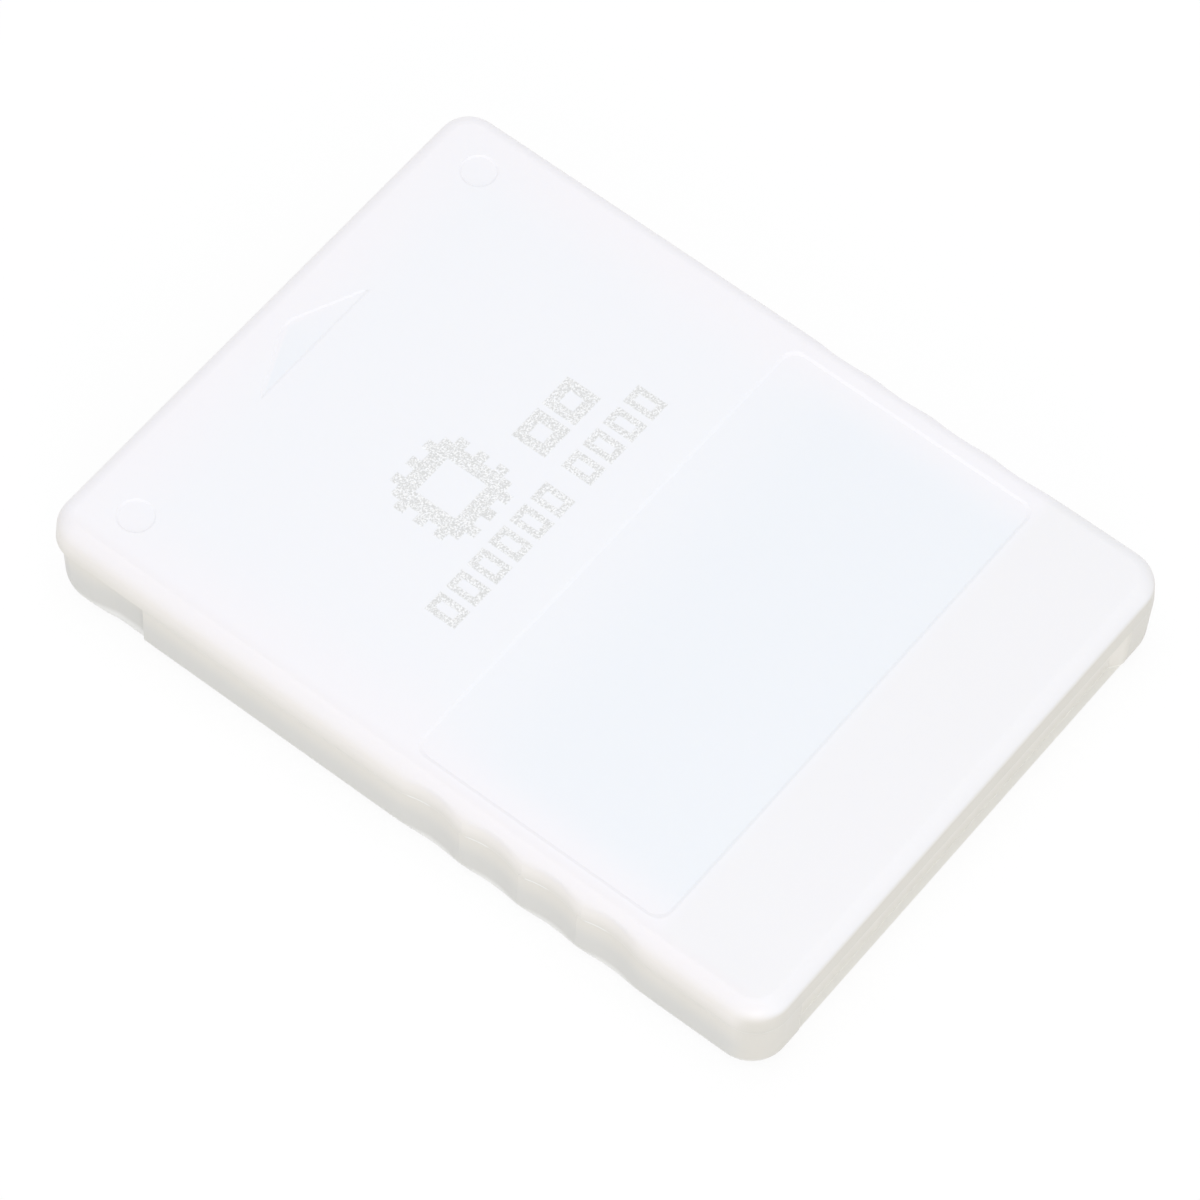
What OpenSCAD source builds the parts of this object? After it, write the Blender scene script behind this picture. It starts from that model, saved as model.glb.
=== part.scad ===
// Memory card for a games console: a moulded two-part housing over a small
// circuit board. The card lies on its flat back. +Y is the connector end that
// goes into the console, +X is to the right of it, +Z is up out of the label
// side, and the origin is the middle of the underside. Millimetres.

/* [Card] */
// Overall width across the two long sides
card_w = 41.0; // [39:0.1:43]
// Overall length from the back end to the connector end
card_l = 55.5; // [54:0.1:58]
// Overall height
card_h = 6.8; // [6.6:0.1:7.6]
// Height of the line where the two covers meet
seam_z = 4.6; // [4.4:0.05:4.7]
// Corner radius of the upper cover at the connector end
front_r = 2.2; // [1.6:0.1:3]
// Corner radius of the lower cover at the connector end
lower_front_r = 3.0; // [2.3:0.1:3.4]
// Corner radius at the back end
back_r = 2.5; // [2:0.1:3.6]
// Rounding of the upper edge
top_edge_r = 1.1; // [0.6:0.1:1.4]
// Rounding of the lower edge
bottom_edge_r = 1.2; // [0.6:0.1:1.4]
// How far the walls lean in between the seam and the edge rounding
wall_draft = 0.12; // [0:0.02:0.2]
// Bevel on both covers that leaves a fine groove at the seam
seam_bevel = 0.1; // [0.04:0.02:0.16]

/* [Shell] */
// Wall thickness of both covers
wall = 1.3; // [1.2:0.1:1.6]
// Thickness of the lower cover's floor
floor_t = 1.2; // [1:0.1:1.3]
// Thickness of the upper cover's roof
roof_t = 1.2; // [1:0.1:1.3]
// How far the tongue on the lower cover stands up inside the upper cover
tongue_h = 0.7; // [0.5:0.1:0.8]
// Gap around the tongue
tongue_gap = 0.05; // [0.02:0.01:0.1]

/* [Grip scallops] */
// Number of finger scallops along each long side
grip_count = 4; // [3:1:4]
// Distance between neighbouring scallops
grip_pitch = 4.5; // [4:0.1:5]
// Length of one scallop
grip_len = 4.4; // [3.4:0.1:4.4]
// Depth of a scallop
grip_depth = 0.44; // [0.2:0.02:0.5]
// Middle of the row of scallops along the card
grip_mid = -9.5; // [-10:0.05:-8.5]

/* [Label side] */
// Width of the shallow label recess
label_w = 37.3; // [32:0.1:37.6]
// Length of the label recess along the card
label_l = 18.9; // [16:0.1:20]
// Middle of the label recess along the card
label_mid = -9.3; // [-10:0.05:-8]
// Depth of the label recess
label_d = 0.12; // [0.08:0.02:0.2]
// Corner radius of the label recess
label_r = 1.0; // [0.6:0.1:2]
// Half the distance between the two round dimples
dimple_x = 16.6; // [16:0.1:17.2]
// Dimple position along the card
dimple_y = 23.4; // [22.5:0.05:24]
// Diameter of a dimple
dimple_d = 2.5; // [2:0.1:3]
// Depth of a dimple in the middle
dimple_depth = 0.22; // [0.1:0.02:0.3]
// Half the width of the insertion arrow
arrow_half = 5.4; // [4:0.1:7]
// Where the arrow's base lies along the card
arrow_y = 23.0; // [22:0.1:23.5]
// Height of the arrow from base to tip
arrow_h = 2.35; // [1.6:0.05:3]
// Depth of the arrow
arrow_d = 0.16; // [0.1:0.02:0.25]

/* [Connector mouth] */
// Width of the mouth under the connector end
mouth_w = 29.2; // [28:0.2:30]
// How far the mouth reaches back from the connector end
mouth_l = 8.0; // [7:0.1:9]
// Width of the two ribs that divide the contacts into groups
divider_w = 1.3; // [1:0.1:1.6]
// Distance of each dividing rib from the middle
divider_x = 4.3; // [4:0.1:4.6]

/* [Sides and back end] */
// Depth of the retention notch in each side of the lower cover
notch_d = 0.62; // [0.3:0.02:0.7]
// Back wall of the notch along the card
notch_y = 19.75; // [19:0.05:20.5]
// Where the notch floor ends and its ramp begins
notch_ramp_y = 22.3; // [21.5:0.1:23]
// Where the ramp meets the side again
notch_end_y = 23.9; // [23.2:0.1:24.5]
// Step in of the lower cover's sides beside the connector
side_step = 0.18; // [0.06:0.02:0.24]
// Half the length of the finger groove under the back end
groove_half = 16.6; // [14:0.1:17]
// Depth of the finger groove
groove_d = 0.72; // [0.4:0.02:0.75]
// Height of the lip left below the finger groove
groove_lip = 0.62; // [0.5:0.02:1]

/* [Circuit board] */
// Board thickness
board_t = 1.0; // [0.8:0.1:1.2]
// Height of the board's upper face, which the chips stand on
board_top = 3.3; // [3.1:0.1:3.4]
// Gap between the board's edge and the walls
board_gap = 0.4; // [0.3:0.05:0.6]
// Diameter of the four locating pegs
peg_d = 1.6; // [1.4:0.1:1.8]
// Clearance across the pegs in the board's holes
board_hole_gap = 0.3; // [0.1:0.05:0.4]
// Clearance across the pegs in the lower cover's bosses
boss_hole_gap = 0.1; // [0.06:0.02:0.2]
// Outer diameter of a boss
boss_d = 3.4; // [3.2:0.1:3.6]
// Thickness of a gold contact
contact_t = 0.08; // [0.05:0.01:0.1]
// Width of a gold contact
contact_w = 1.8; // [1.4:0.1:2]
// Length of a gold contact
contact_l = 5.8; // [5:0.1:6.2]
// Distance between contacts of one group
contact_pitch = 2.75; // [2.6:0.05:2.9]

/* [Hidden] */

half_w = card_w / 2;
half_l = card_l / 2;
board_z = board_top - board_t;
roof_z = card_h - roof_t;
eps = 0.01;
arc_n = 8;
rear_peg_x = half_w - 5.9;

pegs = [
  [ dimple_x,  dimple_y], [-dimple_x, dimple_y],
  [ rear_peg_x, -half_l + 5.2], [-rear_peg_x, -half_l + 5.2]
];

// ---- outlines -------------------------------------------------------------

// A quarter of a corner, counter-clockwise from angle a0.
function corner(cx, cy, r, a0, n = arc_n) =
  [for (i = [0 : n]) let (a = a0 + 90 * i / n) [cx + r * cos(a), cy + r * sin(a)]];

// A rectangle with its own radius at the front and at the back.
function rounded(hx, y0, y1, rf, rb, n = 6) = concat(
  corner(hx - rf, y1 - rf, rf, 0, n), corner(-hx + rf, y1 - rf, rf, 90, n),
  corner(-hx + rb, y0 + rb, rb, 180, n), corner(hx - rb, y0 + rb, rb, 270, n));

// The card's outline, counter-clockwise, moved inward by d. The two covers
// differ only in rf, the radius at the connector end.
function outline(d, rf) = concat(
  corner(half_w - rf, half_l - rf, rf - d, 0),
  corner(-half_w + rf, half_l - rf, rf - d, 90),
  corner(-half_w + back_r, -half_l + back_r, back_r - d, 180),
  corner(half_w - back_r, -half_l + back_r, back_r - d, 270));

// A closed skin through a list of [z, inset] levels, from the bottom up.
module skin(levels, rf) {
  n = len(outline(0, rf));
  m = len(levels);
  low = n * m;
  high = low + 1;
  points = concat([for (v = levels, p = outline(v[1], rf)) [p[0], p[1], v[0]]],
                  [[0, 0, levels[0][0]], [0, 0, levels[m - 1][0]]]);
  walls = [
    for (j = [0 : m - 2], i = [0 : n - 1])
      let (a = j * n + i, b = j * n + (i + 1) % n)
        each [[a, a + n, b + n], [a, b + n, b]]
  ];
  caps = [
    for (i = [0 : n - 1])
      let (k = (i + 1) % n, t = (m - 1) * n)
        each [[low, i, k], [high, t + k, t + i]]
  ];
  polyhedron(points, concat(walls, caps), convexity = 6);
}

// Levels of a rounded edge of radius r, as [height above its start, inset].
function edge_levels(r, n = 5) = [for (i = [1 : n]) [r * sin(90 * i / n), r * (1 - cos(90 * i / n))]];

top_levels = concat(
  [[seam_z, seam_bevel], [seam_z + seam_bevel, 0], [card_h - top_edge_r, wall_draft]],
  [for (e = edge_levels(top_edge_r)) [card_h - top_edge_r + e[0], wall_draft + e[1]]]);

bottom_levels = concat(
  [for (i = [5 : -1 : 1]) let (e = edge_levels(bottom_edge_r)[i - 1])
    [bottom_edge_r - e[0], wall_draft + e[1]]],
  [[bottom_edge_r, wall_draft], [seam_z - seam_bevel, 0], [seam_z, seam_bevel]]);

// The space inside the walls, d in from the outline, between two heights.
module inside(d, z0, z1) {
  translate([0, 0, z0]) linear_extrude(z1 - z0)
    polygon(rounded(half_w - d, -half_l + d, half_l - d, 1.1, 1.7));
}

// ---- housing --------------------------------------------------------------

// The finger scallops in both long sides, each a shallow arc straight down the
// wall that also cuts through the rounded edges.
module grip_scallops() {
  r = (pow(grip_len / 2, 2) + pow(grip_depth, 2)) / (2 * grip_depth);
  for (k = [0 : grip_count - 1], s = [-1, 1])
    translate([s * (half_w - grip_depth + r), grip_mid + (k - (grip_count - 1) / 2) * grip_pitch, -1])
      cylinder(r = r, h = card_h + 2, $fn = 96);
}

module dimple(x) {
  ball_r = (pow(dimple_d / 2, 2) + pow(dimple_depth, 2)) / (2 * dimple_depth);
  translate([x, dimple_y, card_h - dimple_depth + ball_r]) sphere(r = ball_r, $fn = 72);
}

module arrow() {
  translate([0, 0, card_h - arrow_d]) linear_extrude(1)
    polygon([[-arrow_half, arrow_y], [arrow_half, arrow_y],
             [0.3, arrow_y + arrow_h], [-0.3, arrow_y + arrow_h]]);
}

// A collar that holds the board down, with the peg that goes through it.
module peg_and_collar(p) {
  translate([p[0], p[1], board_top]) cylinder(d = boss_d, h = roof_z - board_top + 0.3, $fn = 40);
  translate([p[0], p[1], floor_t + 0.4]) cylinder(d = peg_d, h = board_top - floor_t, $fn = 32);
}

module top_cover() {
  color([0.95, 0.96, 0.98]) {
    difference() {
      skin(top_levels, front_r);
      grip_scallops();
      inside(wall, seam_z - 1, roof_z);
      inside(wall - 0.5 - tongue_gap, seam_z - 1, seam_z + tongue_h + tongue_gap);
      translate([0, 0, card_h - label_d]) linear_extrude(1)
        polygon(rounded(label_w / 2, label_mid - label_l / 2, label_mid + label_l / 2, label_r, label_r, 4));
      arrow();
      dimple(dimple_x);
      dimple(-dimple_x);
    }
    for (p = pegs) peg_and_collar(p);
    // visor that closes the front above the board's edge
    translate([-mouth_w / 2 + 0.1, half_l - wall - 0.1, board_top + 0.1])
      cube([mouth_w - 0.2, wall - seam_bevel, seam_z - board_top + 0.4]);
    // stiffening ribs under the roof, across the card
    for (y = [17.6, -21.2])
      translate([-half_w + wall + 0.1, y, roof_z - 0.55]) cube([card_w - 2 * wall - 0.2, 0.8, 0.8]);
  }
}

// One side's retention notch with the step beside the connector.
module side_notch() {
  translate([0, 0, -1]) linear_extrude(seam_z + 1 - eps)
    polygon([[half_w + 2, notch_y], [half_w - notch_d, notch_y], [half_w - notch_d, notch_ramp_y],
             [half_w - side_step, notch_end_y], [half_w - side_step, half_l + 1], [half_w + 2, half_l + 1]]);
}

module finger_groove() {
  translate([0, 0, groove_lip]) linear_extrude(seam_z - groove_lip - eps)
    polygon([[-groove_half, -half_l - 1], [-groove_half, -half_l], [-groove_half + 0.9, -half_l + groove_d],
             [groove_half - 0.9, -half_l + groove_d], [groove_half, -half_l], [groove_half, -half_l - 1]]);
}

// A boss that carries the board and takes the end of a peg.
module boss(p) {
  difference() {
    translate([p[0], p[1], floor_t - 0.3]) cylinder(d = boss_d, h = board_z - floor_t + 0.3, $fn = 40);
    translate([p[0], p[1], floor_t + 0.2]) cylinder(d = peg_d + boss_hole_gap, h = 5, $fn = 32);
  }
}

module bottom_cover() {
  mouth_y = half_l - mouth_l;
  color([0.90, 0.90, 0.88]) {
    difference() {
      union() {
        skin(bottom_levels, lower_front_r);
        inside(wall - 0.5, seam_z - 0.5, seam_z + tongue_h);
      }
      grip_scallops();
      inside(wall, floor_t, 10);
      translate([-mouth_w / 2, mouth_y, -1]) cube([mouth_w, mouth_l + 2, 8]);
      side_notch();
      mirror([1, 0, 0]) side_notch();
      finger_groove();
    }
    for (p = pegs) boss(p);
    // walls round the mouth, up to the board
    difference() {
      translate([-mouth_w / 2 - 0.9, mouth_y - 1.0, floor_t - 0.3])
        cube([mouth_w + 1.8, half_l - wall - mouth_y + 1.3, board_z - floor_t + 0.3]);
      translate([-mouth_w / 2, mouth_y, -1]) cube([mouth_w, mouth_l + 2, 8]);
    }
    // ribs that divide the contacts into groups
    for (s = [-1, 1])
      translate([s * divider_x - divider_w / 2, mouth_y - 0.6, 0.4])
        cube([divider_w, mouth_l + 0.1, board_z - 0.4]);
    // ribs along the floor that carry the board
    for (s = [-1, 1])
      translate([s * 7.5 - 0.4, -half_l + wall - 0.2, floor_t - 0.2])
        cube([0.8, mouth_y - 1.0 + half_l - wall + 0.4, board_z - floor_t + 0.2]);
  }
}

// ---- circuit board --------------------------------------------------------

module circuit_board() {
  bx = half_w - wall - board_gap;
  by0 = -half_l + wall + board_gap;
  by1 = half_l - wall - board_gap;
  tx = mouth_w / 2 - 0.35;
  color([0.10, 0.36, 0.22])
    difference() {
      translate([0, 0, board_z]) linear_extrude(board_t)
        polygon([[-bx, by0 + 1.5], [-bx + 1.5, by0], [bx - 1.5, by0], [bx, by0 + 1.5],
                 [bx, by1 - 1.2], [bx - 1.2, by1], [tx, by1], [tx, half_l - 1.0], [tx - 0.4, half_l - 0.6],
                 [-tx + 0.4, half_l - 0.6], [-tx, half_l - 1.0], [-tx, by1], [-bx + 1.2, by1], [-bx, by1 - 1.2]]);
      for (p = pegs)
        translate([p[0], p[1], 0]) cylinder(d = peg_d + board_hole_gap, h = 10, $fn = 32);
    }
}

// Middles of the contacts: three, two and three.
contact_x = concat([for (i = [-1 : 1]) -9.6 + i * contact_pitch],
                   [-contact_pitch / 2, contact_pitch / 2],
                   [for (i = [-1 : 1]) 9.6 + i * contact_pitch]);

module contact_pads() {
  color([0.86, 0.68, 0.30])
    for (x = contact_x)
      translate([x - contact_w / 2, half_l - 1.0 - contact_l, board_z - contact_t])
        cube([contact_w, contact_l, contact_t]);
}

// ---- parts on the board ---------------------------------------------------

flash_at = [-2.2, -8.5];
flash_l = 18.4;
flash_w = 12.0;
flash_h = 1.0;
ctrl_at = [2.4, 8.0];
ctrl_s = 10.0;
ctrl_h = 1.4;
standoff = 0.1;

// A gull-wing lead of width w and foil t: its foot ends at x = 0 and it rises to h at x = -run.
module gull_lead(w, run, h, t = 0.13) {
  rotate([90, 0, 0]) translate([0, 0, -w / 2]) linear_extrude(w)
    polygon([[0, 0], [0, t], [-run * 0.45 + t * 0.3, t], [-run * 0.7, h + t], [-run, h + t],
             [-run, h], [-run * 0.7 - t * 0.3, h], [-run * 0.45, 0]]);
}

module flash_chip() {
  color([0.13, 0.13, 0.14])
    difference() {
      translate([flash_at[0] - flash_l / 2, flash_at[1] - flash_w / 2, board_top + standoff])
        cube([flash_l, flash_w, flash_h]);
      translate([flash_at[0] - flash_l / 2 + 1.1, flash_at[1] + flash_w / 2 - 1.1, board_top + standoff + flash_h - 0.08])
        cylinder(d = 1.0, h = 1, $fn = 24);
    }
}

module flash_chip_leads() {
  color([0.78, 0.79, 0.80])
    for (side = [0, 180], i = [0 : 23])
      translate([flash_at[0], flash_at[1], board_top]) rotate([0, 0, side])
        translate([flash_l / 2 + 0.8, (i - 11.5) * 0.5, 0]) gull_lead(0.22, 0.8, 0.5);
}

module controller_chip() {
  color([0.12, 0.12, 0.13])
    difference() {
      translate([ctrl_at[0] - ctrl_s / 2, ctrl_at[1] - ctrl_s / 2, board_top + standoff])
        cube([ctrl_s, ctrl_s, ctrl_h]);
      translate([ctrl_at[0] - ctrl_s / 2 + 1.2, ctrl_at[1] + ctrl_s / 2 - 1.2, board_top + standoff + ctrl_h - 0.08])
        cylinder(d = 1.0, h = 1, $fn = 24);
    }
}

module controller_chip_leads() {
  color([0.78, 0.79, 0.80])
    for (side = [0 : 90 : 270], i = [0 : 10])
      translate([ctrl_at[0], ctrl_at[1], board_top]) rotate([0, 0, side])
        translate([ctrl_s / 2 + 1.1, (i - 5) * 0.8, 0]) gull_lead(0.32, 1.1, 0.65);
}

crystal_at = [12.6, 6.5];

module crystal_base() {
  color([0.55, 0.50, 0.44])
    translate([crystal_at[0] - 1.6, crystal_at[1] - 2.5, board_top]) cube([3.2, 5.0, 0.6]);
}

module crystal_lid() {
  color([0.80, 0.80, 0.78])
    translate([crystal_at[0] - 1.35, crystal_at[1] - 2.25, board_top + 0.6]) cube([2.7, 4.5, 0.5]);
}

// A small moulded body with two leads on one side and one on the other.
reg_at = [-12.4, 13.4];
det_at = [12.4, -1.6];

module sot_body(at, l, w, h) {
  translate([at[0] - w / 2, at[1] - l / 2, board_top + standoff]) cube([w, l, h]);
}

module sot_leads(at, w, pitch, lw) {
  for (y = [-pitch, pitch])
    translate([at[0] + w / 2 + 0.5, at[1] + y, board_top]) gull_lead(lw, 0.5, 0.4);
  translate([at[0] - w / 2 - 0.5, at[1], board_top]) rotate([0, 0, 180]) gull_lead(lw, 0.5, 0.4);
}

module regulator() { color([0.14, 0.14, 0.15]) sot_body(reg_at, 4.4, 2.5, 1.4); }

module regulator_leads() { color([0.78, 0.79, 0.80]) sot_leads(reg_at, 2.5, 1.5, 0.5); }

module voltage_detector() { color([0.14, 0.14, 0.15]) sot_body(det_at, 2.9, 1.4, 1.0); }

module voltage_detector_leads() { color([0.78, 0.79, 0.80]) sot_leads(det_at, 1.4, 0.95, 0.42); }

tant_at = [-12.4, 7.2];
diode_at = [-7.2, 14.6];

// A moulded block on two bent metal ends, along Y.
module block(at, l, w, h) {
  translate([at[0] - w / 2, at[1] - l / 2, board_top + 0.2]) cube([w, l, h - 0.2]);
}

module block_ends(at, l, w) {
  for (s = [-1, 1])
    translate([at[0] - w / 2, at[1] + s * (l / 2 - 0.35) - 0.55, board_top]) cube([w, 1.1, 0.2]);
}

module tantalum_capacitor() { color([0.85, 0.60, 0.20]) block(tant_at, 3.4, 2.6, 1.7); }

module tantalum_terminals() { color([0.78, 0.79, 0.80]) block_ends(tant_at, 3.4, 2.2); }

module diode() { color([0.14, 0.14, 0.15]) block(diode_at, 2.7, 1.5, 1.1); }

module diode_terminals() { color([0.78, 0.79, 0.80]) block_ends(diode_at, 2.7, 1.0); }

// Small chips: a body between two metal ends, along X or along Y.
cap_at = [[-13.6, -0.6, 90], [-13.6, -4.6, 90], [-14.0, -12.5, 90], [10.6, -12.6, 90], [10.6, -6.9, 90],
          [-7.0, 4.6, 90], [2.2, 16.4, 0], [12.6, 12.6, 0]];
res_at = [[-10.2, 17.0, 0], [-3.0, 16.4, 0], [6.4, 16.4, 0], [13.4, -6.4, 90], [13.4, -10.0, 90],
          [13.4, -13.6, 90], [-5.6, -17.4, 0], [-1.6, -17.4, 0], [2.4, -17.4, 0]];

module chip_body(at, l, w, h, e) {
  for (c = at) translate([c[0], c[1], board_top]) rotate([0, 0, c[2]])
    translate([-l / 2 + e, -w / 2, 0]) cube([l - 2 * e, w, h]);
}

module chip_ends(at, l, w, h, e) {
  for (c = at, s = [0, 1]) translate([c[0], c[1], board_top]) rotate([0, 0, c[2]])
    translate([-l / 2 + s * (l - e), -w / 2, 0]) cube([e, w, h]);
}

module ceramic_capacitors() { color([0.72, 0.58, 0.42]) chip_body(cap_at, 2.0, 1.25, 0.9, 0.4); }

module capacitor_ends() { color([0.80, 0.80, 0.80]) chip_ends(cap_at, 2.0, 1.25, 0.9, 0.4); }

module resistors() { color([0.10, 0.10, 0.11]) chip_body(res_at, 1.6, 0.8, 0.5, 0.3); }

module resistor_ends() { color([0.80, 0.80, 0.80]) chip_ends(res_at, 1.6, 0.8, 0.5, 0.3); }

net_at = [8.6, -17.4];

module resistor_network() {
  color([0.10, 0.10, 0.11]) translate([net_at[0] - 1.6, net_at[1] - 0.5, board_top]) cube([3.2, 1.0, 0.55]);
}

module network_ends() {
  color([0.80, 0.80, 0.80])
    for (s = [-1, 1], i = [0 : 3])
      translate([net_at[0] + (i - 1.5) * 0.8 - 0.22, net_at[1] + (s < 0 ? -0.8 : 0.5), board_top])
        cube([0.44, 0.3, 0.5]);
}

// ---- pick ------------------------------------------------------------------

top_cover();
bottom_cover();
circuit_board();
contact_pads();
flash_chip();
flash_chip_leads();
controller_chip();
controller_chip_leads();
crystal_base();
crystal_lid();
regulator();
regulator_leads();
voltage_detector();
voltage_detector_leads();
tantalum_capacitor();
tantalum_terminals();
diode();
diode_terminals();
ceramic_capacitors();
capacitor_ends();
resistors();
resistor_ends();
resistor_network();
network_ends();
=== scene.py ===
"""Looks for a moulded memory card: the milky two-part housing, and the board and contacts in its mouth.

The housing's two covers are modelled here over the fixed frame, and every node of the board
keeps its own shape and takes a finish. Sizes are given in millimetres and built in metres, in
the frame's axes: +Y is the connector end, +Z comes out of the label side.
"""

from __future__ import annotations

import logging
import math
from collections.abc import Callable, Sequence
from dataclasses import dataclass
from enum import Enum

import bpy
from mathutils import Matrix, Vector

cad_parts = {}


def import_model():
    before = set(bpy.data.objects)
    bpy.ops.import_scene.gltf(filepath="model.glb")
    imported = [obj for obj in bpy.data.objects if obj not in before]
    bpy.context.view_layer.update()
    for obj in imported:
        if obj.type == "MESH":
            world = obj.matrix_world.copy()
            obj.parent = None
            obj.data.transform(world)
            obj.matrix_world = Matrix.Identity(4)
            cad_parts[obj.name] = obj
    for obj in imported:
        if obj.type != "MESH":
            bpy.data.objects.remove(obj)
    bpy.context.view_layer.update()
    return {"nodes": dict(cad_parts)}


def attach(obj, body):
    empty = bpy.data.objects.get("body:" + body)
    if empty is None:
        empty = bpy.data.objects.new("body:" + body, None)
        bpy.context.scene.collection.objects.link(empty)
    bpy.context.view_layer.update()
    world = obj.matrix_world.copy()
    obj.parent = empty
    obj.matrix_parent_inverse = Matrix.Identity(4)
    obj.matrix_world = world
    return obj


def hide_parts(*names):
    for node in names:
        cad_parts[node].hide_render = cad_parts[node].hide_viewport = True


LOG = logging.getLogger("memory_card")
MM = 0.001
NEAR_NOTHING = 1e-7

Span = tuple[float, float]
Point = tuple[float, float, float]
Colour = tuple[float, float, float]


class Part(Enum):
    """The material slots of the record for the housing's pieces."""

    UPPER = "housing_top"
    LOWER = "housing_bottom"


# ---- shader maths -----------------------------------------------------------


class Value:
    """A number carried by a shader socket, on which maths adds Math nodes."""

    def __init__(self, graph: Graph, socket: bpy.types.NodeSocket) -> None:
        """Wraps a socket of a graph."""
        self.graph = graph
        self.socket = socket

    def __add__(self, other: Value | float) -> Value:
        """Adds."""
        return self.graph.maths("ADD", self, other)

    __radd__ = __add__

    def __sub__(self, other: Value | float) -> Value:
        """Subtracts."""
        return self.graph.maths("SUBTRACT", self, other)

    def __rsub__(self, other: Value | float) -> Value:
        """Subtracts this from a number."""
        return self.graph.maths("SUBTRACT", other, self)

    def __mul__(self, other: Value | float) -> Value:
        """Multiplies."""
        return self.graph.maths("MULTIPLY", self, other)

    __rmul__ = __mul__

    def __truediv__(self, other: Value | float) -> Value:
        """Divides."""
        return self.graph.maths("DIVIDE", self, other)

    def __abs__(self) -> Value:
        """The distance from nought."""
        return self.graph.maths("ABSOLUTE", self)

    def larger(self, other: Value | float) -> Value:
        """The larger of two values."""
        return self.graph.maths("MAXIMUM", self, other)

    def smaller(self, other: Value | float) -> Value:
        """The smaller of two values."""
        return self.graph.maths("MINIMUM", self, other)

    def fraction(self) -> Value:
        """What is left above the whole number below."""
        return self.graph.maths("FRACT", self)

    def fade(self, low: float, high: float) -> Value:
        """A soft step: 0 up to low, 1 from high on. The ends may be given the other way round."""
        return self.graph.remap(self, low, high, 0.0, 1.0, soft=True)


class Graph:
    """The node tree of one material or of the world, with its maker's short cuts."""

    def __init__(self, name: str, world: bool = False) -> None:
        """Makes a material or a world with an empty tree.

        Args:
            name: Its name.
            world: Whether it is a world.
        """
        self.owner = (bpy.data.worlds if world else bpy.data.materials).new(name)
        self.owner.use_nodes = True
        self.tree = self.owner.node_tree
        self.tree.nodes.clear()

    def add(
        self,
        kind: str,
        settings: dict[str, object] | None = None,
        inputs: dict[str | int, object] | None = None,
    ) -> bpy.types.Node:
        """Adds a node.

        Args:
            kind: The node's type.
            settings: Its properties, which are set first.
            inputs: Its sockets by name or number, each with a Value, a socket or a constant.

        Returns:
            The node.
        """
        node = self.tree.nodes.new(kind)
        for key, value in (settings or {}).items():
            setattr(node, key, value)
        for key, value in (inputs or {}).items():
            socket = node.inputs[key]
            if isinstance(value, Value):
                self.tree.links.new(value.socket, socket)
            elif isinstance(value, bpy.types.NodeSocket):
                self.tree.links.new(value, socket)
            else:
                socket.default_value = value
        return node

    def maths(self, operation: str, *terms: Value | float) -> Value:
        """One Math node over its terms."""
        node = self.add("ShaderNodeMath", {"operation": operation}, dict(enumerate(terms)))
        return Value(self, node.outputs[0])

    def remap(
        self, value: Value, low: float, high: float, to_low: float, to_high: float, soft: bool = False
    ) -> Value:
        """Maps a range onto another, clamped.

        Args:
            value: What is mapped.
            low: The value that becomes to_low.
            high: The value that becomes to_high.
            to_low: The result at low.
            to_high: The result at high.
            soft: Whether the way between is smooth at both ends.

        Returns:
            The mapped value.
        """
        if low > high:
            low, high, to_low, to_high = high, low, to_high, to_low
        node = self.add(
            "ShaderNodeMapRange",
            {"interpolation_type": "SMOOTHSTEP" if soft else "LINEAR", "clamp": True},
            {"Value": value, "From Min": low, "From Max": high, "To Min": to_low, "To Max": to_high},
        )
        return Value(self, node.outputs["Result"])

    def where(self) -> bpy.types.NodeSocket:
        """The point on the piece, in metres."""
        return self.add("ShaderNodeTexCoord").outputs["Object"]

    def axes(self, where: bpy.types.NodeSocket) -> list[Value]:
        """A point's x, y and z in millimetres."""
        split = self.add("ShaderNodeSeparateXYZ", inputs={"Vector": where})
        return [Value(self, split.outputs[i]) * (1 / MM) for i in range(3)]

    def noise(
        self, where: bpy.types.NodeSocket, size: float, detail: float = 2.0, rough: float = 0.5
    ) -> Value:
        """Cloudy noise.

        Args:
            where: The coordinates.
            size: The size of a blotch, in millimetres.
            detail: How many finer layers it has.
            rough: How strong the finer layers are.

        Returns:
            A value about 0.5.
        """
        node = self.add(
            "ShaderNodeTexNoise",
            inputs={"Vector": where, "Scale": 1.0 / (size * MM), "Detail": detail, "Roughness": rough},
        )
        return Value(self, node.outputs["Fac"])

    def pebbles(self, where: bpy.types.NodeSocket, size: float) -> Value:
        """Distance from the middle of the nearest of many random grains, 0 to about 1."""
        node = self.add("ShaderNodeTexVoronoi", inputs={"Vector": where, "Scale": 1.0 / (size * MM)})
        return Value(self, node.outputs["Distance"])

    def blend(
        self,
        factor: Value | float,
        first: Colour | bpy.types.NodeSocket,
        second: Colour | bpy.types.NodeSocket,
    ) -> bpy.types.NodeSocket:
        """Mixes two colours.

        Args:
            factor: 0 gives the first, 1 the second.
            first: A linear colour or a socket.
            second: A linear colour or a socket.

        Returns:
            The mixed colour's socket.
        """
        ends = [
            value if isinstance(value, bpy.types.NodeSocket) else (*value, 1.0) for value in (first, second)
        ]
        node = self.add("ShaderNodeMix", {"data_type": "RGBA"}, {0: factor, 6: ends[0], 7: ends[1]})
        return node.outputs[2]

    def bump(
        self, height: Value, depth: float, strength: float, under: bpy.types.NodeSocket | None = None
    ) -> bpy.types.NodeSocket:
        """A bumped normal.

        Args:
            height: The relief, from 0 to 1.
            depth: How deep 1 is, in millimetres.
            strength: How much of it shows.
            under: A normal that this one is added to.

        Returns:
            The normal's socket.
        """
        inputs: dict[str | int, object] = {"Height": height, "Distance": depth * MM, "Strength": strength}
        if under is not None:
            inputs["Normal"] = under
        return self.add("ShaderNodeBump", inputs=inputs).outputs["Normal"]

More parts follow.
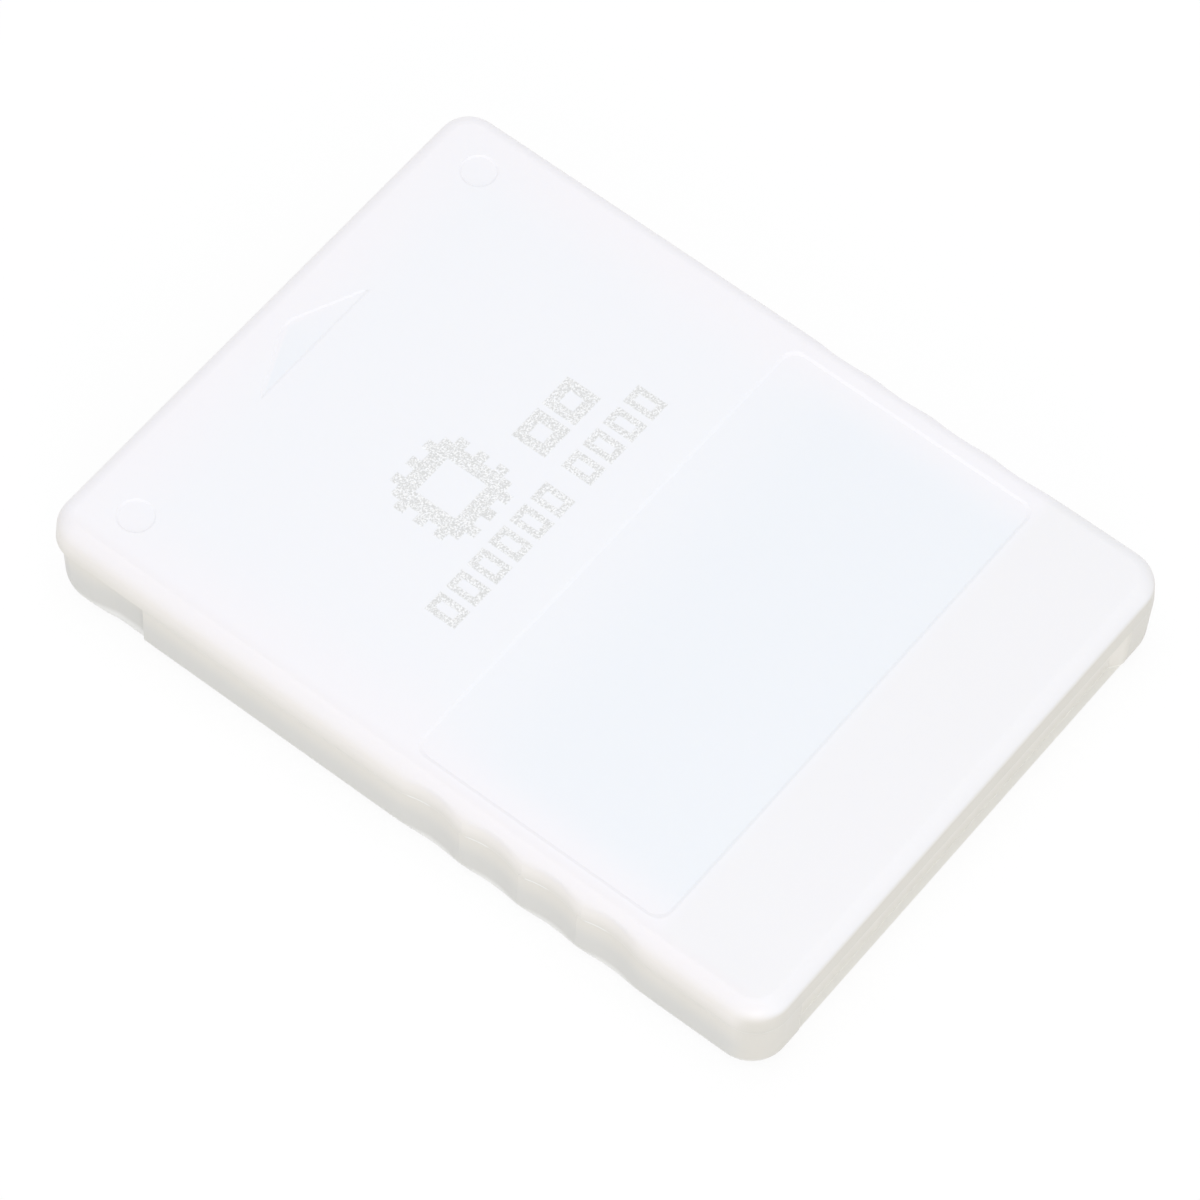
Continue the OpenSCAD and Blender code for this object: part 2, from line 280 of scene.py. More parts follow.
    def directly_seen(self) -> Value:
        """Tells the looks of a surface from the light that it gives.

        Returns:
            1 for what the camera, a mirror image or a clear thing shows, and 0 for other light.
        """
        path = self.add("ShaderNodeLightPath")
        camera, glossy, clear = (
            Value(self, path.outputs[f"Is {kind} Ray"]) for kind in ("Camera", "Glossy", "Transmission")
        )
        return camera.larger(glossy).larger(clear)

    def finish(self, **inputs: object) -> bpy.types.Material:
        """Closes the tree with a Principled shader.

        Args:
            inputs: Its sockets, with underscores for the spaces in their names.

        Returns:
            The material.
        """
        named = {key.replace("_", " "): value for key, value in inputs.items()}
        shader = self.add("ShaderNodeBsdfPrincipled", inputs=named)
        self.add("ShaderNodeOutputMaterial", inputs={"Surface": shader.outputs[0]})
        return self.owner


def linear(level: int) -> float:
    """A screen level of 0 to 255 as the linear number that shaders take."""
    part = level / 255.0
    return part / 12.92 if part <= 0.04045 else ((part + 0.055) / 1.055) ** 2.4


# ---- the workbench: modelling by hand ---------------------------------------


class Bench:
    """Operators for modelling one piece at a time, with vertices and edges chosen by their place."""

    @staticmethod
    def take(piece: bpy.types.Object) -> None:
        """Leaves only this piece selected and active."""
        bpy.ops.object.select_all(action="DESELECT")
        piece.select_set(True)
        bpy.context.view_layer.objects.active = piece

    @staticmethod
    def settle(piece: bpy.types.Object) -> None:
        """Puts the piece's place, turn and size into its mesh."""
        Bench.take(piece)
        bpy.ops.object.transform_apply(location=True, rotation=True, scale=True)

    @staticmethod
    def fresh(name: str) -> bpy.types.Object:
        """Names the primitive that was just added."""
        piece = bpy.context.object
        piece.name = name
        return piece

    @staticmethod
    def open_whole(piece: bpy.types.Object) -> None:
        """Opens a piece in edit mode with all of it selected."""
        Bench.take(piece)
        bpy.ops.object.mode_set(mode="EDIT")
        bpy.ops.mesh.select_all(action="SELECT")

    @staticmethod
    def pick(piece: bpy.types.Object, wanted: Callable[..., bool], edges: bool = False) -> None:
        """Selects vertices or edges by place and stays in edit mode.

        Args:
            piece: The piece.
            wanted: Says of a vertex's place, or of the places of an edge's two ends, whether it
                is selected.
            edges: Whether edges are picked.
        """
        Bench.take(piece)
        bpy.ops.object.mode_set(mode="EDIT")
        bpy.ops.mesh.select_mode(type="EDGE" if edges else "VERT")
        bpy.ops.mesh.select_all(action="DESELECT")
        bpy.ops.object.mode_set(mode="OBJECT")
        points = [vertex.co for vertex in piece.data.vertices]
        for item in piece.data.edges if edges else piece.data.vertices:
            ends = item.vertices if edges else (item.index,)
            item.select = wanted(*(points[end] for end in ends))
        bpy.ops.object.mode_set(mode="EDIT")

    @staticmethod
    def done() -> None:
        """Leaves edit mode."""
        bpy.ops.object.mode_set(mode="OBJECT")

    @staticmethod
    def raise_solid(height: float) -> None:
        """Extrudes the open piece's face upwards into a closed solid, and leaves edit mode.

        Args:
            height: How far up, in millimetres.
        """
        bpy.ops.mesh.select_all(action="SELECT")
        bpy.ops.mesh.extrude_region_move(TRANSFORM_OT_translate={"value": (0, 0, height * MM)})
        bpy.ops.mesh.select_all(action="SELECT")
        bpy.ops.mesh.normals_make_consistent(inside=False)
        Bench.done()

    @staticmethod
    def block(name: str, low: Sequence[float], high: Sequence[float]) -> bpy.types.Object:
        """A block between two corners, given in millimetres.

        Args:
            name: The piece's name.
            low: Its lowest corner.
            high: Its highest corner.

        Returns:
            The block.
        """
        bpy.ops.object.select_all(action="DESELECT")
        middle = [(a + b) / 2 * MM for a, b in zip(low, high, strict=True)]
        bpy.ops.mesh.primitive_cube_add(size=1.0, location=middle)
        piece = Bench.fresh(name)
        piece.scale = [(b - a) * MM for a, b in zip(low, high, strict=True)]
        Bench.settle(piece)
        return piece

    @staticmethod
    def rod(name: str, place: Sequence[float], width: float, low: float, high: float) -> bpy.types.Object:
        """An upright rod, given in millimetres.

        Args:
            name: The piece's name.
            place: Its middle in plan.
            width: Its diameter.
            low: The height of its foot.
            high: The height of its top.

        Returns:
            The rod.
        """
        bpy.ops.object.select_all(action="DESELECT")
        bpy.ops.mesh.primitive_cylinder_add(
            vertices=96,
            radius=width / 2 * MM,
            depth=(high - low) * MM,
            location=(place[0] * MM, place[1] * MM, (low + high) / 2 * MM),
        )
        piece = Bench.fresh(name)
        Bench.settle(piece)
        return piece

    @staticmethod
    def prism(name: str, outline: Sequence[Span], low: float, high: float) -> bpy.types.Object:
        """An upright prism over an outline in millimetres.

        Args:
            name: The piece's name.
            outline: The corners in plan, in order.
            low: The height of its underside.
            high: The height of its top.

        Returns:
            The prism.
        """
        bpy.ops.object.select_all(action="DESELECT")
        bpy.ops.mesh.primitive_circle_add(vertices=len(outline), radius=1.0, fill_type="NGON")
        piece = Bench.fresh(name)
        for vertex, (x, y) in zip(piece.data.vertices, outline, strict=True):
            vertex.co = (x * MM, y * MM, low * MM)
        Bench.open_whole(piece)
        Bench.raise_solid(high - low)
        return piece

    @staticmethod
    def round_edges(radius: float, segments: int, kind: str = "EDGES") -> None:
        """Rounds what is selected in the open piece, and leaves edit mode.

        Args:
            radius: The radius in millimetres.
            segments: How many faces each rounding has.
            kind: EDGES, or VERTICES for the corners of a flat outline.
        """
        bpy.ops.mesh.bevel(
            offset=radius * MM,
            offset_type="OFFSET",
            segments=segments,
            profile=0.5,
            affect=kind,
            clamp_overlap=False,
        )
        Bench.done()

    @staticmethod
    def round_uprights(piece: bpy.types.Object, radius: float, segments: int) -> None:
        """Rounds a block's upright edges.

        Args:
            piece: The block.
            radius: The radius in millimetres.
            segments: How many faces each rounding has.
        """
        Bench.pick(piece, lambda a, b: (a.xy - b.xy).length < NEAR_NOTHING < abs(a.z - b.z), edges=True)
        Bench.round_edges(radius, segments)

    @staticmethod
    def flare(piece: bpy.types.Object, height: float, reach: float) -> None:
        """Widens a tool's top all round, so that the walls it presses slope.

        Args:
            piece: The tool.
            height: The height of its top in millimetres.
            reach: How far out the top moves on every side.
        """
        Bench.pick(piece, lambda co: co.z > (height - 0.01) * MM)
        x, y = (piece.dimensions[i] / 2 / MM for i in range(2))
        low, high = (Vector(map(end, *(v.co for v in piece.data.vertices))) for end in (min, max))
        middle = (low + high) / 2
        bpy.ops.transform.resize(
            value=((x + reach) / x, (y + reach) / y, 1),
            center_override=(middle.x, middle.y, height * MM),
        )
        Bench.done()

    @staticmethod
    def carve(piece: bpy.types.Object, tool: bpy.types.Object, operation: str = "DIFFERENCE") -> None:
        """Cuts a tool out of a piece, or joins it on, and throws the tool away.

        Args:
            piece: The piece that stays.
            tool: The closed shape that is used up.
            operation: DIFFERENCE or UNION.
        """
        Bench.take(piece)
        cut = piece.modifiers.new("carve", "BOOLEAN")
        cut.operation = operation
        cut.solver = "EXACT"
        cut.object = tool
        bpy.ops.object.modifier_apply(modifier=cut.name)
        bpy.data.objects.remove(tool, do_unlink=True)

    @staticmethod
    def join(piece: bpy.types.Object, tool: bpy.types.Object) -> None:
        """Joins a closed shape onto a piece."""
        Bench.carve(piece, tool, "UNION")

    @staticmethod
    def polish(piece: bpy.types.Object, angle: float = 12.0) -> None:
        """Smooths the shading of soft edges and keeps flat faces flat.

        Args:
            piece: The finished piece.
            angle: The sharpest edge that is smoothed, in degrees.
        """
        Bench.take(piece)
        bpy.ops.object.shade_smooth_by_angle(angle=math.radians(angle))
        even = piece.modifiers.new("even", "WEIGHTED_NORMAL")
        even.mode = "FACE_AREA"
        even.weight = 100
        even.keep_sharp = True
        bpy.ops.object.modifier_apply(modifier=even.name)


# ---- the housing ------------------------------------------------------------


@dataclass(frozen=True)
class CardOutline:
    """The card's plan, with the finger scallops along both long sides. Millimetres."""

    width: float = 41.0
    length: float = 55.5
    back_radius: float = 2.5
    grip_count: int = 4
    grip_pitch: float = 4.5
    grip_length: float = 4.4
    grip_depth: float = 0.44
    grip_middle: float = -9.5
    grip_softness: float = 0.14
    crest_reach: float = 0.5
    crest_steps: int = 9
    corner_segments: int = 12
    side_cuts: int = 220

    @property
    def half_w(self) -> float:
        """Half the width."""
        return self.width / 2

    @property
    def half_l(self) -> float:
        """Half the length."""
        return self.length / 2

    def grip_inset(self, along: float) -> float:
        """How far in the scallops lie, with soft crests.

        Args:
            along: The place along the card.

        Returns:
            The depth, negative outside the scallops.
        """
        steps = self.crest_steps
        shifts = [self.crest_reach * (2 * i / (steps - 1) - 1) for i in range(steps)]
        weights = [1 - (shift / self.crest_reach) ** 2 + 0.1 for shift in shifts]
        arcs = [self._arc(along + shift) for shift in shifts]
        return sum(w * arc for w, arc in zip(weights, arcs, strict=True)) / sum(weights)

    def _arc(self, along: float) -> float:
        """How far in the nearest scallop's bare arc lies.

        Args:
            along: The place along the card.

        Returns:
            The depth, negative outside the arc.
        """
        offset = (along - self.grip_middle) / self.grip_pitch + (self.grip_count - 1) / 2
        nearest = min(max(round(offset), 0), self.grip_count - 1)
        away = min(abs(offset - nearest) * self.grip_pitch, self.grip_length)
        radius = ((self.grip_length / 2) ** 2 + self.grip_depth**2) / (2 * self.grip_depth)
        return self.grip_depth - (radius - math.sqrt(radius**2 - away**2))

    def slab(self, name: str, front_radius: float, low: float, high: float) -> bpy.types.Object:
        """An upright slab of the card's plan.

        Args:
            name: The piece's name.
            front_radius: The corner radius at the connector end.
            low: The height of its underside.
            high: The height of its top.

        Returns:
            The slab, with sharp rims.
        """
        bpy.ops.object.select_all(action="DESELECT")
        bpy.ops.mesh.primitive_plane_add(size=1.0, location=(0, 0, low * MM))
        piece = Bench.fresh(name)
        piece.scale = (self.width * MM, self.length * MM, 1)
        Bench.settle(piece)
        reach = (self.half_l - 1e-4) * MM
        for sign, radius in ((1, front_radius), (-1, self.back_radius)):
            Bench.pick(piece, lambda co, s=sign: co.y * s > reach)
            Bench.round_edges(radius, self.corner_segments, "VERTICES")
        self._cut_sides(piece)
        Bench.open_whole(piece)
        bpy.ops.mesh.select_mode(type="EDGE")
        bpy.ops.mesh.edge_face_add()
        Bench.raise_solid(high - low)
        return piece

    def _cut_sides(self, piece: bpy.types.Object) -> None:
        """Leaves the plan's bare rim and divides its two long sides into short runs.

        Args:
            piece: The flat plan.
        """
        Bench.open_whole(piece)
        bpy.ops.mesh.delete(type="ONLY_FACE")
        Bench.done()
        reach, half_l = (self.half_w - 1e-4) * MM, self.half_l * MM
        Bench.pick(
            piece, lambda a, b: min(abs(a.x), abs(b.x)) > reach and abs(a.y - b.y) > half_l, edges=True
        )
        bpy.ops.mesh.subdivide(number_cuts=self.side_cuts)
        Bench.done()

    def press_grips(self, piece: bpy.types.Object) -> None:
        """Presses the scallops into both long sides, straight down through the rounded rims.

        Where an arc lies further in than the wall, the wall moves to it, with a soft crest between.

        Args:
            piece: The slab.
        """
        for vertex in piece.data.vertices:
            arc = self.grip_inset(vertex.co.y / MM)
            if arc < -self.grip_depth:
                continue
            inset = self.half_w - abs(vertex.co.x) / MM
            soft = math.hypot(inset - arc, self.grip_softness)
            moved = (inset + arc + soft) / 2 if inset < arc + 6 * self.grip_softness else inset
            vertex.co.x = math.copysign((self.half_w - moved) * MM, vertex.co.x)

    def lean(self, piece: bpy.types.Object, height: float, inset: float) -> None:
        """Draws one rim in, for the draft that lets a moulding leave its tool.

        Args:
            piece: The slab.
            height: The height of the rim.
            inset: How far the rim goes in.
        """
        Bench.pick(piece, lambda co: abs(co.z - height * MM) < NEAR_NOTHING)
        bpy.ops.transform.resize(
            value=((self.half_w - inset) / self.half_w, (self.half_l - inset) / self.half_l, 1),
            center_override=(0, 0, height * MM),
        )
        Bench.done()

    def round_rim(self, piece: bpy.types.Object, height: float, radius: float, segments: int) -> None:
        """Rounds the rim at a height.

        Args:
            piece: The slab.
            height: The height of the rim.
            radius: The radius of the rounding.
            segments: How many faces it has.
        """
        Bench.pick(
            piece,
            lambda a, b: max(abs(a.z - height * MM), abs(b.z - height * MM)) < NEAR_NOTHING,
            edges=True,
        )
        Bench.round_edges(radius, segments)

    def inner_block(self, name: str, inset: float, low: float, high: float) -> bpy.types.Object:
        """A block with rounded corners that follows the plan at an inset.

        Args:
            name: The block's name.
            inset: How far inside the plan its sides stand.
            low: The height of its underside.
            high: The height of its top.

        Returns:
            The block.
        """
        x, y = self.half_w - inset, self.half_l - inset
        block = Bench.block(name, (-x, -y, low), (x, y, high))
        Bench.round_uprights(block, self.back_radius - inset, 4)
        return block


@dataclass(frozen=True)
class Joints:
    """What holds the two covers and the board together: a tongue, and pegs in bosses. Millimetres."""

    places: tuple[Span, ...] = ((16.6, 23.4), (-16.6, 23.4), (14.6, -22.55), (-14.6, -22.55))
    peg_width: float = 1.6
    boss_width: float = 3.4
    boss_gap: float = 0.1
    peg_foot: float = 1.6
    boss_foot: float = 1.4
    board_low: float = 2.3
    board_top: float = 3.3
    tongue_inset: float = 0.8
    tongue_height: float = 0.7
    tongue_gap: float = 0.05
    sunk: float = 0.3

    def add_pegs(self, piece: bpy.types.Object, roof: float) -> None:
        """Stands the collars and their pegs under the upper cover's roof.

        Args:
            piece: The upper cover.
            roof: The height of its roof inside.
        """
        for place in self.places:
            collar = Bench.rod("collar", place, self.boss_width, self.board_top, roof + self.sunk)
            Bench.join(piece, collar)
            Bench.join(piece, Bench.rod("peg", place, self.peg_width, self.peg_foot, self.board_top + 0.4))

    def add_bosses(self, piece: bpy.types.Object, floor: float) -> None:
        """Stands the bosses that carry the board on the lower cover's floor, with their holes.

        Args:
            piece: The lower cover.
            floor: The height of its floor inside.
        """
        width = self.peg_width + self.boss_gap
        for place in self.places:
            boss = Bench.rod("boss", place, self.boss_width, floor - self.sunk, self.board_low)
            Bench.join(piece, boss)
            Bench.carve(piece, Bench.rod("boss_hole", place, width, self.boss_foot, self.board_low + 1))


@dataclass(frozen=True)
class Cover:
    """What the two halves of the housing share. Millimetres."""

    plan: CardOutline = CardOutline()
    joints: Joints = Joints()
    seam: float = 4.6
    front_radius: float = 2.2
    edge_radius: float = 1.1
    rim_segments: int = 14
    draft: float = 0.12
    seam_bevel: float = 0.015
    wall: float = 1.3
    mouth_width: float = 29.2
    rib_width: float = 0.8

    def _slab(self, name: str, rim: float) -> bpy.types.Object:
        """The solid that the cover is cut from: rounded at its rim, with the scallops pressed in.

        Args:
            name: The piece's name.
            rim: The height of the outer rim; the other face lies at the seam.

        Returns:
            The solid.
        """
        piece = self.plan.slab(name, self.front_radius, *sorted((rim, self.seam)))
        self.plan.lean(piece, rim, self.draft)
        self.plan.round_rim(piece, rim, self.edge_radius, self.rim_segments)
        self.plan.round_rim(piece, self.seam, self.seam_bevel, 2)
        self.plan.press_grips(piece)
        return piece


@dataclass(frozen=True)
class UpperCover(Cover):
    """The label side of the housing, with its shallow recess, two dimples and arrow. Millimetres."""

    top: float = 6.8
    roof: float = 1.2
    label_half_width: float = 18.45
    label_low: float = -18.55
    label_high: float = -0.05
    label_depth: float = 0.07
    label_slope: float = 3.1
    label_radius: float = 1.0
    dimple_place: Span = (16.6, 23.4)
    dimple_width: float = 2.5
    dimple_depth: float = 0.07
    dimple_slope: float = 2.0
    arrow_half: float = 5.1
    arrow_base: float = 23.1
    arrow_height: float = 2.15
    arrow_blunt: tuple[Span, ...] = ((0.7, 0.12), (0.3, 0.0))
    arrow_depth: float = 0.05
    arrow_slope: float = 3.4
    visor_lap: float = 0.1
    visor_rise: float = 0.4
    roof_ribs: Span = (17.6, -21.2)
    rib_heights: Span = (-0.55, 0.25)

    def build(self) -> bpy.types.Object:
        """Makes the cover.

        Returns:
            The finished piece.
        """
        piece = self._slab("upper_cover", self.top)
        self._hollow(piece)
        self._sink_label(piece)
        self._sink_arrow(piece)
        for side in (1, -1):
            self._sink_dimple(piece, side)
        Bench.join(piece, self._visor())
        self._stiffen(piece)
        Bench.polish(piece)
        return piece

    def _hollow(self, piece: bpy.types.Object) -> None:
        """Opens the cover from below, up to its roof, and steps its rim for the tongue.

        Args:
            piece: The cover.
        """
        joints, below = self.joints, self.seam - 1
        Bench.carve(piece, self.plan.inner_block("hollow", self.wall, below, self.top - self.roof))
        inset = joints.tongue_inset - joints.tongue_gap
        high = self.seam + joints.tongue_height + joints.tongue_gap
        Bench.carve(piece, self.plan.inner_block("step", inset, below, high))

    def _press(self, piece: bpy.types.Object, tool: bpy.types.Object, depth: float, slope: float) -> None:
        """Presses a tool into the flat, with sloped walls.

        Args:
            piece: The cover.
            tool: The tool, which ends 1 mm above the flat.
            depth: How deep it goes.
            slope: How far out its walls lean for each millimetre up.
        """
        Bench.flare(tool, self.top + 1, (1 + depth) * slope)
        Bench.carve(piece, tool)

    def _sink_label(self, piece: bpy.types.Object) -> None:
        """Presses the wide label recess, with rounded corners.

        Args:
            piece: The cover.
        """
        half, deep = self.label_half_width, self.top - self.label_depth
        tool = Bench.block("label", (-half, self.label_low, deep), (half, self.label_high, self.top + 1))
        Bench.round_uprights(tool, self.label_radius, 8)
        self._press(piece, tool, self.label_depth, self.label_slope)

    def _sink_arrow(self, piece: bpy.types.Object) -> None:
        """Presses the flat arrow that points at the connector end.

        Args:
            piece: The cover.
        """
        tip = self.arrow_base + self.arrow_height
        right = [(self.arrow_half, self.arrow_base), *((x, tip - down) for x, down in self.arrow_blunt)]
        left = [(-x, y) for x, y in right]
        outline = [left[0], *right, *reversed(left[1:])]
        tool = Bench.prism("arrow", outline, self.top - self.arrow_depth, self.top + 1)
        self._press(piece, tool, self.arrow_depth, self.arrow_slope)

    def _sink_dimple(self, piece: bpy.types.Object, side: int) -> None:
        """Presses one round dimple, with a flat foot.

        Args:
            piece: The cover.
            side: 1 for the right dimple, -1 for the left.
        """
        x, y = self.dimple_place
        width = self.dimple_width - 2 * self.dimple_depth * self.dimple_slope
        tool = Bench.rod("dimple", (side * x, y), width, self.top - self.dimple_depth, self.top + 1)
        self._press(piece, tool, self.dimple_depth, self.dimple_slope)

    def _visor(self) -> bpy.types.Object:
        """The lip that closes the front above the board's edge.

        Returns:
            The lip.
        """
        lap, front = self.visor_lap, self.plan.half_l
        half = self.mouth_width / 2 - lap
        return Bench.block(
            "visor",
            (-half, front - self.wall - lap, self.joints.board_top + lap),
            (half, front - self.seam_bevel - lap, self.seam + self.visor_rise),
        )

    def _stiffen(self, piece: bpy.types.Object) -> None:
        """Adds the two ribs under the roof and the pegs with their collars.

        Args:
            piece: The cover.
        """
        roof, half = self.top - self.roof, self.plan.half_w - self.wall - 0.1
        low, high = (roof + height for height in self.rib_heights)
        for y in self.roof_ribs:
            Bench.join(piece, Bench.block("roof_rib", (-half, y, low), (half, y + self.rib_width, high)))
        self.joints.add_pegs(piece, roof)


@dataclass(frozen=True)
class LowerCover(Cover):
    """The back of the housing, with the contact mouth, side notches and finger groove. Millimetres."""

    front_radius: float = 3.0
    edge_radius: float = 1.2
    floor: float = 1.2
    mouth_length: float = 8.0
    mouth_wall: float = 0.9
    divider_width: float = 1.3
    divider_place: float = 4.3
    divider_low: float = 0.4
    divider_radius: float = 0.15
    notch_depth: float = 0.62
    notch_back: float = 19.75
    notch_ramp: float = 22.3
    notch_end: float = 23.9
    side_step: float = 0.18
    groove_half: float = 16.6
    groove_depth: float = 0.72
    groove_lip: float = 0.62
    groove_slant: float = 1.0
    rib_place: float = 7.5
    lap: float = 0.2

    @property
    def mouth_back(self) -> float:
        """Where the mouth ends along the card."""
        return self.plan.half_l - self.mouth_length

    def build(self) -> bpy.types.Object:
        """Makes the cover.

        Returns:
            The finished piece.
        """
        piece = self._slab("lower_cover", 0.0)
        self._raise_tongue(piece)
        Bench.carve(piece, self.plan.inner_block("hollow", self.wall, self.floor, self.seam + 1))
        for side in (1, -1):
            Bench.carve(piece, self._notch_tool(side))
        Bench.carve(piece, self._groove_tool())
        Bench.join(piece, self._mouth_walls())
        half = self.mouth_width / 2
        mouth = Bench.block(
            "mouth", (-half, self.mouth_back, -1), (half, self.plan.half_l + 2, self.seam + 2)
        )
        Bench.carve(piece, mouth)
        for side in (1, -1):
            Bench.join(piece, self._divider(side))
            Bench.join(piece, self._floor_rib(side))
        self.joints.add_bosses(piece, self.floor)
        Bench.polish(piece)
        return piece

    def _raise_tongue(self, piece: bpy.types.Object) -> None:
        """Adds the solid tongue that stands up inside the upper cover, before the hollow opens it.

        Args:
            piece: The cover.
        """
        joints = self.joints
        high = self.seam + joints.tongue_height
        Bench.join(piece, self.plan.inner_block("tongue", joints.tongue_inset, self.seam - 0.5, high))

    def _floor_rib(self, side: int) -> bpy.types.Object:
        """One of the two ribs along the floor that carry the board.

        Args:
            side: 1 for the right rib, -1 for the left.

        Returns:
            The rib.
        """
        middle, half = side * self.rib_place, self.rib_width / 2
        back = self.wall - self.plan.half_l - self.lap
        return Bench.block(
            "floor_rib",
            (middle - half, back, self.floor - self.lap),
            (middle + half, self.mouth_back - self.rib_width, self.joints.board_low),
        )

    def _notch_tool(self, side: int) -> bpy.types.Object:
        """The cutter for one retention notch and the step in beside the connector.

        Args:
            side: 1 for the right side, -1 for the left.

        Returns:
            The cutter.
        """
        back, half_w = self.notch_back, self.plan.half_w
        foot, step = half_w - self.notch_depth, half_w - self.side_step
        outline = [
            (half_w + 2, back - 0.1),
            (half_w, back - 0.1),
            (half_w - 0.12, back),
            (foot + 0.15, back),
            (foot, back + 0.15),
            (foot, self.notch_ramp - 0.25),
            (foot + 0.06, self.notch_ramp + 0.1),
            (step - 0.06, self.notch_end - 0.15),
            (step, self.notch_end + 0.25),
            (step, self.plan.half_l + 1),
            (half_w + 2, self.plan.half_l + 1),
        ]
        return Bench.prism("notch", [(side * x, y) for x, y in outline], -1.0, self.seam + 1)

    def _groove_tool(self) -> bpy.types.Object:
        """The cutter for the finger groove under the back end.

        Returns:
            The cutter.
        """
        back, half, slant = -self.plan.half_l, self.groove_half, self.groove_slant
        right = [(half - slant, back + self.groove_depth), (half, back), (half, back - 1)]
        outline = [*((-x, y) for x, y in reversed(right)), *right]
        return Bench.prism("groove", outline, self.groove_lip, self.seam + 1)

    def _mouth_walls(self) -> bpy.types.Object:
        """The walls round the mouth, as one block that the mouth is then cut from.

        Returns:
            The block.
        """
        half, front = self.mouth_width / 2 + self.mouth_wall, self.plan.half_l - self.wall
        return Bench.block(
            "mouth_walls",
            (-half, self.mouth_back - 1.0, self.floor - self.lap),
            (half, front + self.lap, self.joints.board_low),
        )

    def _divider(self, side: int) -> bpy.types.Object:
        """One of the two ribs that part the contacts into groups.

        Args:
            side: 1 for the right rib, -1 for the left.

        Returns:
            The rib, with softened edges.
        """
        back, middle, half = self.mouth_back, side * self.divider_place, self.divider_width / 2
        rib = Bench.block(
            "divider",
            (middle - half, back - 0.4, self.divider_low),
            (middle + half, self.plan.half_l - 0.5, self.joints.board_low),
        )
        Bench.pick(rib, lambda a, b: min(a.y, b.y) > (back + 1) * MM, edges=True)
        Bench.round_edges(self.divider_radius, 3)
        return rib


# ---- finishes ---------------------------------------------------------------


@dataclass(frozen=True)
class Marks:
    """The printed field above the label: plain shapes with a fine granular face. Millimetres.

    A ring with pins stands for a chip, two small rings stand beside it, and a row of
    short open bars, with a gap in it, runs below.
    """

    ring_middle: Span = (-2.9, 9.85)
    ring_half: float = 2.65
    ring_line: float = 1.1
    pin_reach: float = 0.65
    pin_pitch: float = 1.55
    pin_half: float = 0.38
    pin_lap: float = 0.1
    small_rings: tuple[Span, ...] = ((3.75, 8.15), (6.75, 8.15))
    small_half: float = 1.3
    small_line: float = 0.75
    bar_pitch: float = 2.04
    bar_half: Span = (0.78, 1.15)
    bar_line: float = 0.48
    bar_start: float = -10.85
    bar_end: float = 10.5
    bar_gap: Span = (1.35, 2.4)
    bar_row: float = 4.55
    second_run: float = -0.15
    soft: Span = (0.06, -0.06)
    grain: float = 0.11
    pebble: float = 0.154
    speck: Span = (0.42, 0.78)
    light: Colour = (linear(254), linear(254), linear(255))
    dark: Colour = (linear(215), linear(215), linear(214))

    def mask(self, graph: Graph, x: Value, y: Value) -> Value:
        """The field's mask.

        Args:
            graph: The material's graph.
            x: The place across the card, in millimetres.
            y: The place along it.

        Returns:
            1 inside the shapes and 0 outside.
        """
        away_x, away_y = abs(x - self.ring_middle[0]), abs(y - self.ring_middle[1])
        shape = self._ring(away_x.larger(away_y) - self.ring_half, self.ring_line)
        shape = shape.larger(self._pins(away_x, away_y)).larger(self._pins(away_y, away_x))
        for middle_x, middle_y in self.small_rings:
            away = abs(x - middle_x).larger(abs(y - middle_y))
            shape = shape.larger(self._ring(away - self.small_half, self.small_line))
        return shape.larger(self._bars(graph, x, y))

    def specks(self, graph: Graph, where: bpy.types.NodeSocket) -> Value:
        """The grain of the print: 0 for its light ground and 1 for its dark specks."""
        fleck = graph.noise(where, self.grain, 1.0, 0.7)
        return (fleck * 0.9 + graph.pebbles(where, self.pebble) * 0.35).fade(*self.speck)

    def _inside(self, distance: Value) -> Value:
        """1 where a distance is below nought, with a soft rim."""
        return distance.fade(*self.soft)

    def _ring(self, distance: Value, line: float) -> Value:
        """A band of a width that runs inside an outline, given the distance from that outline."""
        return self._inside(distance) * (1 - self._inside(distance + line))

    def _pins(self, along: Value, across: Value) -> Value:
        """Three pins on each of two opposite sides of the ring.

        Args:
            along: The distance from the ring's middle the way that the pins point.
            across: The distance from it the other way.

        Returns:
            1 on the pins and 0 beside them.
        """
        lane = abs(across - self.pin_pitch).smaller(across) - self.pin_half
        start, end = self.ring_half - self.pin_lap, self.ring_half + self.pin_reach
        return self._inside(lane.larger((start - along).larger(along - end)))

    def _bars(self, graph: Graph, x: Value, y: Value) -> Value:
        """The row of short open bars, in two runs with a gap between them.

        Args:
            graph: The material's graph.
            x: The place across the card, in millimetres.
            y: The place along it.

        Returns:
            1 on the bars and 0 beside them.
        """
        before, after = x - self.bar_start, x - self.bar_gap[1]
        second = graph.maths("GREATER_THAN", after, self.second_run)
        place = before * (1 - second) + after * second
        lane = abs((place / self.bar_pitch).fraction() - 0.5) * self.bar_pitch - self.bar_half[0]
        row = abs(y - self.bar_row) - self.bar_half[1]
        ends = (self.bar_start - x).larger(x - self.bar_end)
        gap = (x - self.bar_gap[0]).smaller(self.bar_gap[1] - x)
        return self._ring(lane.larger(row), self.bar_line) * self._inside(ends.larger(gap))


